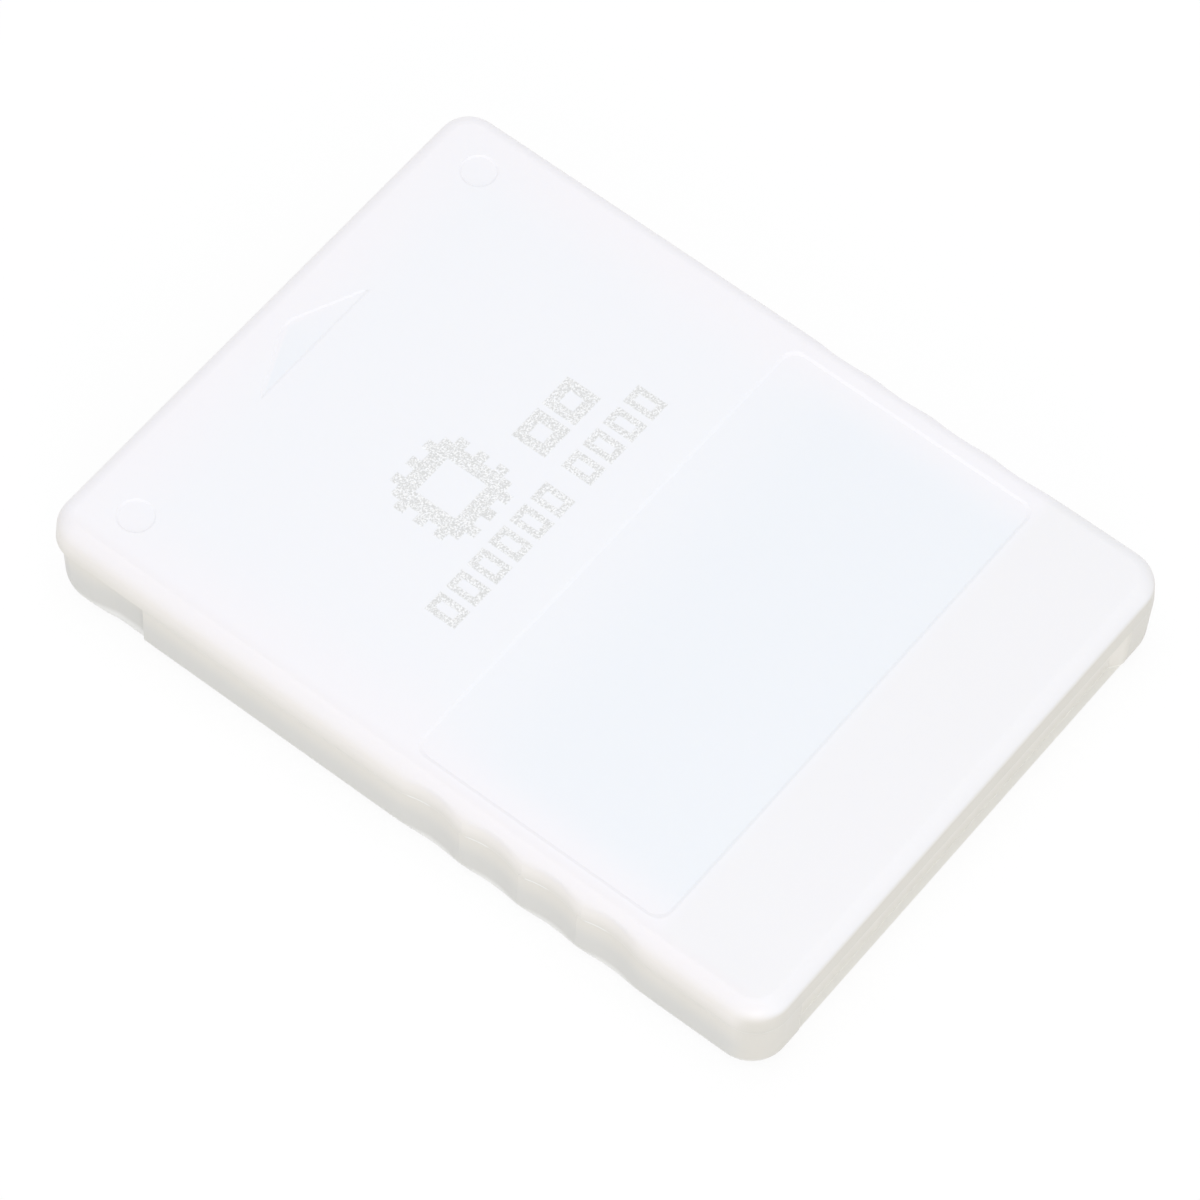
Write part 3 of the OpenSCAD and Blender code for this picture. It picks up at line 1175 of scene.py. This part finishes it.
@dataclass(frozen=True)
class SeamGlint:
    """A painted highlight, short and light, along the seam in the front half of each scallop. Millimetres.
    """

    plan: CardOutline = CardOutline()
    height: float = 4.58
    thickness: Span = (0.09, 0.03)
    start: Span = (0.2, 0.6)
    end: Span = (2.0, 1.7)
    side: Span = (19.4, 19.6)

    def mask(self, x: Value, y: Value, z: Value) -> Value:
        """The line's mask, from a place in millimetres.

        Args:
            x: The place across the card.
            y: The place along it.
            z: The height.

        Returns:
            1 on the line and 0 off it.
        """
        pitch, half_count = self.plan.grip_pitch, self.plan.grip_count / 2
        place = (y - self.plan.grip_middle) / pitch + half_count
        along = place.fraction() * pitch - pitch / 2
        run = along.fade(*self.start) * along.fade(*self.end)
        in_row = abs(place - half_count).fade(half_count, half_count - 0.02)
        return abs(z - self.height).fade(*self.thickness) * run * in_row * abs(x).fade(*self.side)


@dataclass(frozen=True)
class ToneSteps:
    """Where the plastic's tones give way to each other, as the start and end of each soft step.

    Most of these tones are painted light and shade. Millimetres: heights above the underside
    for the shoulder, the wall and what lies below them, and places across or along the card for
    the others.
    """

    rim_inward: Span = (7.0, 0.8)
    label_across: Span = (18.75, 15.65)
    label_along: Span = (9.55, 9.15)
    label_cool: Span = (0.5, -7.0)
    arrow_edge: Span = (1.0, 0.9)
    arrow_foot: Span = (23.0, 23.2)
    arrow_cool: Span = (4.0, -3.0)
    strip: Span = (-18.4, -19.6)
    near_rim_shade: Span = (-18.5, -19.7)
    shoulder: Span = (6.75, 5.7)
    wall: Span = (5.8, 4.2)
    foot: Span = (4.4, 2.2)
    back_shoulder: Span = (6.25, 5.75)
    beside_groove: Span = (16.15, 16.65)
    groove_lip: Span = (0.78, 0.66)
    back_end: Span = (-26.3, -27.1)
    back_width: Span = (20.1, 18.4)
    corner: Span = (6.5, 5.4)
    seam_light: Span = (0.022, 0.014)
    under: Span = (1.25, 0.6)
    print_top: Span = (6.5, 6.6)


@dataclass(frozen=True)
class MilkyPlastic:
    """Satin white plastic that lets a little light in, with painted light and shade in its colour:
    cool on the flat, and painted shade that makes it warmer and darker down.

    The first four colours and the roughness are one cover's own: the rim holds painted light, and
    the back holds painted shade on the upper cover and painted light against the finger groove's
    shadow on the lower. Both covers share the others: painted shade on the band under the rim,
    on the wall and on its foot, painted light on what lies under it, the painted highlight on the
    seam, the strip of flat behind the label, painted light on the lip at the finger groove, and
    painted shade on the left rim and at the corner.
    """

    recess: Colour
    flat: Colour
    # painted light on the rim, pinker than the cool flat
    rim: Colour
    # painted shade on the back end; on the lower cover, painted light against the finger groove's shadow
    back: Colour
    roughness: float
    # painted shade: the band under the rim, the wall and its foot, darker and warmer downwards
    shoulder: Colour = (0.884, 0.846, 0.809)
    wall: Colour = (0.777, 0.747, 0.692)
    foot: Colour = (0.690, 0.680, 0.650)
    # painted light along the bottom rounding
    under: Colour = (0.87, 0.86, 0.84)
    # painted highlight on the seam
    glint: Colour = (0.97, 0.96, 0.94)
    strip: Colour = (0.893, 0.885, 0.902)
    # painted light on the lip at the finger groove, against its shadow
    lip: Colour = (0.900, 0.890, 0.850)
    # painted shade on the left rim
    near_rim_shade: Colour = (0.895, 0.868, 0.885)
    # painted shade at the back-left corner and beside the finger groove
    corner: Colour = (0.715, 0.688, 0.632)
    light_reach: Point = (0.9, 0.855, 0.765)
    shape: UpperCover = UpperCover()
    seam_glint: SeamGlint = SeamGlint()
    steps: ToneSteps = ToneSteps()
    corner_start: Span = (-18.0, -25.25)
    corner_gain: float = 0.32
    marks: Marks | None = None

    def material(self, name: str) -> bpy.types.Material:
        """Makes the material.

        Args:
            name: The material's name.

        Returns:
            The material.
        """
        graph = Graph(name)
        where = graph.where()
        x, y, z = graph.axes(where)
        cloud = graph.noise(where, 14, 1.0)
        top = self._top_tones(graph, x, y, cloud)
        colour = self._side_tones(graph, (x, y, z), top, cloud)
        grain = graph.noise(where, 0.35, 3.0, 0.6)
        swirl = graph.noise(where, 5, 2.0)
        rough = graph.remap(swirl, 0.3, 0.7, self.roughness - 0.03, self.roughness + 0.04)
        normal = graph.bump(grain, 0.003, 0.4)
        if self.marks is not None:
            etched = self.marks.mask(graph, x, y) * z.fade(*self.steps.print_top)
            speck = self.marks.specks(graph, where)
            granular = graph.blend(speck, self.marks.light, self.marks.dark)
            colour = graph.blend(etched * 0.9, colour, granular)
            rough = rough + etched * 0.1
            normal = graph.bump(etched * (1 - speck), 0.02, 0.5, normal)
        return graph.finish(
            Base_Color=colour,
            Roughness=rough,
            Normal=normal,
            Subsurface_Weight=0.10,
            Subsurface_Radius=[reach * MM for reach in self.light_reach],
            Subsurface_Scale=1.0,
            Specular_IOR_Level=0.4,
        )

    def _top_tones(self, graph: Graph, x: Value, y: Value, cloud: Value) -> bpy.types.NodeSocket:
        """The colour of the top by its place: flat, painted light on the rim, recess, arrow and strip.

        Args:
            graph: The material's graph.
            x: The place across the card, in millimetres.
            y: The place along it.
            cloud: A wide noise that makes the tones wander.

        Returns:
            The colour.
        """
        steps, shape = self.steps, self.shape
        inward = (shape.plan.half_w - abs(x)).smaller(shape.plan.half_l - abs(y))
        # Painted light: the rim, where it rounds over, pinker than the cool flat.
        painted_rim_light = (inward + cloud * 3.0 - 1.5).fade(*steps.rim_inward)
        colour = graph.blend(painted_rim_light, self.flat, self.rim)
        label_middle = (shape.label_low + shape.label_high) / 2
        in_label = abs(x).fade(*steps.label_across) * abs(y - label_middle).fade(*steps.label_along)
        cooler = graph.remap(y, *steps.label_cool, 0.25, 1.0, soft=True)
        colour = graph.blend(in_label * (1 - painted_rim_light * 0.35) * cooler, colour, self.recess)
        up_arrow = abs(x) / shape.arrow_half + (y - shape.arrow_base) / shape.arrow_height
        in_arrow = up_arrow.fade(*steps.arrow_edge) * y.fade(*steps.arrow_foot) * x.fade(*steps.arrow_cool)
        colour = graph.blend(in_arrow * 0.8, colour, self.recess)
        return graph.blend(y.fade(*steps.strip) * (cloud * 0.4 + 0.7), colour, self.strip)

    def _side_tones(
        self, graph: Graph, place: tuple[Value, Value, Value], top: bpy.types.NodeSocket, cloud: Value
    ) -> bpy.types.NodeSocket:
        """The colour of the whole cover: the top's, and painted light and shade down the sides and the back
        end by height.

        Args:
            graph: The material's graph.
            place: The place in millimetres.
            top: The colour of the top.
            cloud: A wide noise that makes the tones wander.

        Returns:
            The colour.
        """
        steps, (x, y, z) = self.steps, place
        # Painted shade on the left rim.
        side = graph.blend(x.fade(*steps.near_rim_shade), top, self.near_rim_shade)
        # Painted shade down the sides: darker and warmer from the rim towards the foot.
        side = graph.blend(z.fade(*steps.shoulder), side, self.shoulder)
        side = graph.blend((z + (cloud - 0.5) * 0.5).fade(*steps.wall), side, self.wall)
        side = graph.blend(z.fade(*steps.foot), side, self.foot)
        # Painted shade on the back-left corner below the rim.
        start_x, start_y = self.corner_start
        past_both = (start_x - x).larger(0.0) * (start_y - y).larger(0.0)
        corner_shade = (past_both * self.corner_gain).fade(0.0, 1.0)
        side = graph.blend(corner_shade * z.fade(*steps.corner), side, self.corner)
        # Painted shade on the back end below its top edge and beside the finger groove; on the lower cover,
        # painted light in the groove against its shadow.
        beside = abs(x).fade(*steps.beside_groove)
        end = graph.blend(z.fade(*steps.back_shoulder), top, graph.blend(beside, self.back, self.corner))
        # Painted light on the lip at the foot of the finger groove, against its shadow.
        end = graph.blend(z.fade(*steps.groove_lip) * (1 - beside), end, self.lip)
        at_back = y.fade(*steps.back_end) * abs(x).fade(*steps.back_width)
        colour = graph.blend(at_back, side, end)
        # Painted highlight: the glint on the seam in each scallop.
        colour = graph.blend(self.seam_glint.mask(x, y, z) * 0.8, colour, self.glint)
        # Painted light along the whole seam, against the shade in its groove.
        seam_light = abs(z - self.shape.seam).fade(*steps.seam_light)
        colour = graph.blend(seam_light * 0.5, colour, self.glint)
        # Painted light on the bottom rounding of the sides.
        return graph.blend(z.fade(*steps.under) * (1 - at_back), colour, self.under)


@dataclass(frozen=True)
class BoardLacquer:
    """Green lacquer over copper tracks, which run back from the contacts. Millimetres."""

    lacquer: Colour = (0.012, 0.095, 0.045)
    over_copper: Colour = (0.035, 0.19, 0.08)
    bloom: Colour = (0.05, 0.24, 0.12)
    track_pitch: float = 0.9
    track_half: Span = (0.24, 0.2)
    tracks_end: Span = (20.0, 20.4)
    plane_end: Span = (19.0, 19.5)

    def material(self) -> bpy.types.Material:
        """Makes the material.

        Returns:
            The material.
        """
        graph = Graph("board_lacquer")
        where = graph.where()
        x, y, _ = graph.axes(where)
        wander = graph.noise(where, 3, 1.0)
        track = abs((x / self.track_pitch + wander * 1.2).fraction() - 0.5).fade(*self.track_half)
        plane = graph.noise(where, 9, 0.0).fade(0.52, 0.54)
        copper = track * (1 - y.fade(*self.tracks_end))
        copper = copper.larger(plane * (1 - y.fade(*self.plane_end)))
        colour = graph.blend(copper, self.lacquer, self.over_copper)
        sheen = graph.noise(where, 0.6, 3.0)
        weave = graph.noise(where, 0.12, 1.0)
        return graph.finish(
            Base_Color=graph.blend(sheen * 0.25, colour, self.bloom),
            Roughness=graph.remap(sheen, 0.3, 0.7, 0.28, 0.42),
            Normal=graph.bump(copper * 0.8 + weave * 0.2, 0.03, 0.6),
            Specular_IOR_Level=0.5,
        )


@dataclass(frozen=True)
class GoldPlate:
    """Thin bright gold with the faint lengthwise rubs that springs leave."""

    gold: Colour = (0.86, 0.60, 0.22)
    rubbed: Colour = (0.72, 0.50, 0.20)
    pull: Point = (1.0, 0.06, 1.0)

    def material(self) -> bpy.types.Material:
        """Makes the material.

        Returns:
            The material.
        """
        graph = Graph("contact_gold")
        where = graph.where()
        pulled = graph.add("ShaderNodeMapping", inputs={"Vector": where, "Scale": self.pull}).outputs[0]
        rub = graph.noise(pulled, 0.12, 3.0, 0.6)
        spot = graph.noise(where, 0.8, 2.0)
        return graph.finish(
            Base_Color=graph.blend(rub.fade(0.45, 0.7), self.gold, self.rubbed),
            Roughness=graph.remap(rub * 0.6 + spot * 0.4, 0.3, 0.7, 0.16, 0.38),
            Metallic=1.0,
            Normal=graph.bump(rub, 0.006, 0.5),
        )


@dataclass(frozen=True)
class Fitted:
    """A plain finish of a part on the board, with its own grain. Millimetres."""

    name: str
    colour: Colour
    second: Colour
    roughness: float
    metallic: float = 0.0
    grain: float = 0.1
    relief: float = 0.01

    def material(self) -> bpy.types.Material:
        """Makes the material.

        Returns:
            The material.
        """
        graph = Graph(self.name)
        where = graph.where()
        fine = graph.noise(where, self.grain, 3.0, 0.65)
        broad = graph.noise(where, self.grain * 12, 2.0)
        mottle = (fine * 0.6 + broad * 0.4).fade(0.35, 0.7)
        return graph.finish(
            Base_Color=graph.blend(mottle, self.colour, self.second),
            Roughness=graph.remap(broad, 0.3, 0.7, self.roughness - 0.05, self.roughness + 0.06),
            Metallic=self.metallic,
            Normal=graph.bump(fine, self.relief, 0.6),
        )


# ---- dressing the frame -----------------------------------------------------


@dataclass(frozen=True)
class Housing:
    """The two covers, modelled over their nodes and dressed."""

    upper: UpperCover = UpperCover()
    lower: LowerCover = LowerCover()
    upper_finish: MilkyPlastic = MilkyPlastic(
        recess=(0.868, 0.890, 0.930),
        flat=(0.900, 0.905, 0.938),
        rim=(0.922, 0.903, 0.933),
        # painted shade on the back end
        back=(0.722, 0.694, 0.634),
        roughness=0.36,
        marks=Marks(),
    )
    lower_finish: MilkyPlastic = MilkyPlastic(
        recess=(0.86, 0.86, 0.83),
        flat=(0.86, 0.86, 0.83),
        rim=(0.86, 0.86, 0.83),
        # painted light in the finger groove, against its shadow
        back=(0.812, 0.783, 0.730),
        roughness=0.38,
    )

    def build(self) -> list[bpy.types.Object]:
        """Makes both covers.

        Returns:
            The pieces.
        """
        top = self.upper.build()
        self._dress(top, self.upper_finish.material("milky_label_side"), Part.UPPER, "top_cover")
        bottom = self.lower.build()
        self._dress(bottom, self.lower_finish.material("milky_back"), Part.LOWER, "bottom_cover")
        return [top, bottom]

    @staticmethod
    def _dress(piece: bpy.types.Object, finish: bpy.types.Material, part: Part, node: str) -> None:
        """Gives a cover its finish and its place in the frame.

        Args:
            piece: The cover.
            finish: Its material.
            part: Its slot in the record; not used.
            node: The node that it stands for.
        """
        piece.data.materials.clear()
        piece.data.materials.append(finish)
        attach(piece, "root")
        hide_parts(node)


@dataclass(frozen=True)
class Electronics:
    """The board, its contacts and the parts on it, which keep their own shapes."""

    epoxy: Fitted = Fitted("chip_epoxy", (0.018, 0.018, 0.020), (0.045, 0.045, 0.048), 0.55, grain=0.08)
    tin: Fitted = Fitted("tinned_leads", (0.62, 0.63, 0.64), (0.45, 0.46, 0.47), 0.28, 1.0, 0.06, 0.004)
    lid: Fitted = Fitted(
        "crystal_lid_metal", (0.66, 0.65, 0.62), (0.52, 0.51, 0.49), 0.22, 1.0, 0.05, 0.003
    )
    bisque: Fitted = Fitted("crystal_base_ceramic", (0.30, 0.26, 0.21), (0.24, 0.21, 0.17), 0.6)
    tan: Fitted = Fitted("capacitor_ceramic", (0.42, 0.27, 0.14), (0.35, 0.22, 0.11), 0.5)
    amber: Fitted = Fitted("tantalum_moulding", (0.62, 0.32, 0.05), (0.50, 0.25, 0.04), 0.45)
    black_nodes: str = (
        "flash_chip controller_chip regulator voltage_detector diode resistors resistor_network"
    )
    tinned_nodes: str = (
        "flash_chip_leads controller_chip_leads regulator_leads voltage_detector_leads"
        " tantalum_terminals diode_terminals capacitor_ends resistor_ends network_ends"
    )

    def build(self, nodes: dict[str, bpy.types.Object]) -> list[bpy.types.Object]:
        """Gives each node its finish.

        Args:
            nodes: The frame's nodes by name.

        Returns:
            The dressed nodes.
        """
        choices = (
            (BoardLacquer(), "circuit_board"),
            (GoldPlate(), "contact_pads"),
            (self.epoxy, self.black_nodes),
            (self.tin, self.tinned_nodes),
            (self.lid, "crystal_lid"),
            (self.bisque, "crystal_base"),
            (self.tan, "ceramic_capacitors"),
            (self.amber, "tantalum_capacitor"),
        )
        dressed = []
        for finish, names in choices:
            material = finish.material()
            for name in names.split():
                nodes[name].data.materials.clear()
                nodes[name].data.materials.append(material)
                dressed.append(nodes[name])
        return dressed


# ---- studio -----------------------------------------------------------------


@dataclass(frozen=True)
class Studio:
    """A pale floor, soft lamps and a camera at the photograph's angle.

    The camera's places are in millimetres and the lamps' in metres.
    """

    eye: Point = (-174.949, -124.055, 348.398)
    target: Point = (-1.708, -0.902, 3.4)
    roll_degrees: float = 3.397
    lens: float = 199.234
    sensor: float = 36.0
    clip: Span = (0.01, 20.0)
    floor_size: float = 6.0
    floor_drop: float = 0.05
    floor_white: float = 0.86
    floor_glow: float = 1.03
    room: Colour = (0.98, 0.99, 1.0)
    room_strength: float = 0.74

    @staticmethod
    def _facing(place: Vector, target: Vector) -> Matrix:
        """The place and turn of something that hangs at a place and faces a target."""
        return Matrix.Translation(place) @ (target - place).to_track_quat("-Z", "Y").to_matrix().to_4x4()

    def camera(self) -> None:
        """Makes the camera."""
        data = bpy.data.cameras.new("photo_camera")
        data.lens = self.lens
        data.sensor_width = self.sensor
        data.sensor_fit = "HORIZONTAL"
        data.clip_start, data.clip_end = self.clip
        camera = bpy.data.objects.new("photo_camera", data)
        bpy.context.scene.collection.objects.link(camera)
        roll = Matrix.Rotation(math.radians(self.roll_degrees), 4, "Z")
        camera.matrix_world = self._facing(Vector(self.eye) * MM, Vector(self.target) * MM) @ roll
        bpy.context.scene.camera = camera

    def floor(self) -> None:
        """Makes the floor that the card lies on, a hair below it."""
        bpy.ops.object.select_all(action="DESELECT")
        bpy.ops.mesh.primitive_plane_add(size=self.floor_size, location=(0, 0, -self.floor_drop * MM))
        floor = Bench.fresh("floor")
        graph = Graph("pale_floor")
        tint = graph.noise(graph.where(), 300, 1.0)
        colour = graph.blend(tint, (0.84, 0.84, 0.84), (0.86, 0.86, 0.86))
        diffuse = graph.add("ShaderNodeBsdfDiffuse", inputs={"Color": colour})
        glow = graph.add(
            "ShaderNodeEmission", inputs={"Color": (1, 1, 1, 1), "Strength": self.floor_glow}
        )
        shown = graph.directly_seen() * self.floor_white
        mix = graph.add("ShaderNodeMixShader", inputs={0: shown, 1: diffuse.outputs[0], 2: glow.outputs[0]})
        graph.add("ShaderNodeOutputMaterial", inputs={"Surface": mix.outputs[0]})
        floor.data.materials.append(graph.owner)

    def light(self) -> None:
        """Sets the pale world and hangs the soft lamps."""
        graph = Graph("pale_room", world=True)
        bpy.context.scene.world = graph.owner
        room, white = (
            graph.add("ShaderNodeBackground", inputs={"Color": (*colour, 1.0), "Strength": strength})
            for colour, strength in ((self.room, self.room_strength), ((1.0, 1.0, 1.0), 1.0))
        )
        ends = {0: graph.directly_seen(), 1: room.outputs[0], 2: white.outputs[0]}
        mix = graph.add("ShaderNodeMixShader", inputs=ends)
        graph.add("ShaderNodeOutputWorld", inputs={"Surface": mix.outputs[0]})
        self._lamp("overhead", (0.05, 0.05, 0.75), 0.60, 1.5)
        self._lamp("left", (-0.50, -0.44, 0.20), 0.35, 1.1)

    def _lamp(self, name: str, place: Point, size: float, power: float) -> None:
        """Hangs one square soft lamp that faces the card.

        Args:
            name: The lamp's name.
            place: Where it hangs, in metres.
            size: The length of its side.
            power: Its power in watts.
        """
        data = bpy.data.lights.new(name, "AREA")
        data.shape = "SQUARE"
        data.size = size
        data.energy = power
        lamp = bpy.data.objects.new(name, data)
        bpy.context.scene.collection.objects.link(lamp)
        lamp.matrix_world = self._facing(Vector(place), Vector())


def main() -> None:
    """Loads the frame and builds the card and its studio."""
    logging.basicConfig(level=logging.INFO, format="%(name)s: %(message)s")
    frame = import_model()
    bpy.context.scene.view_settings.view_transform = "Standard"
    studio = Studio()
    studio.camera()
    for piece in Housing().build():
        LOG.info("%s: %d faces", piece.name, len(piece.data.polygons))
    for node in Electronics().build(frame["nodes"]):
        LOG.info("%s: %s", node.name, node.data.materials[0].name)
    studio.floor()
    studio.light()


if __name__ == "__main__":
    main()
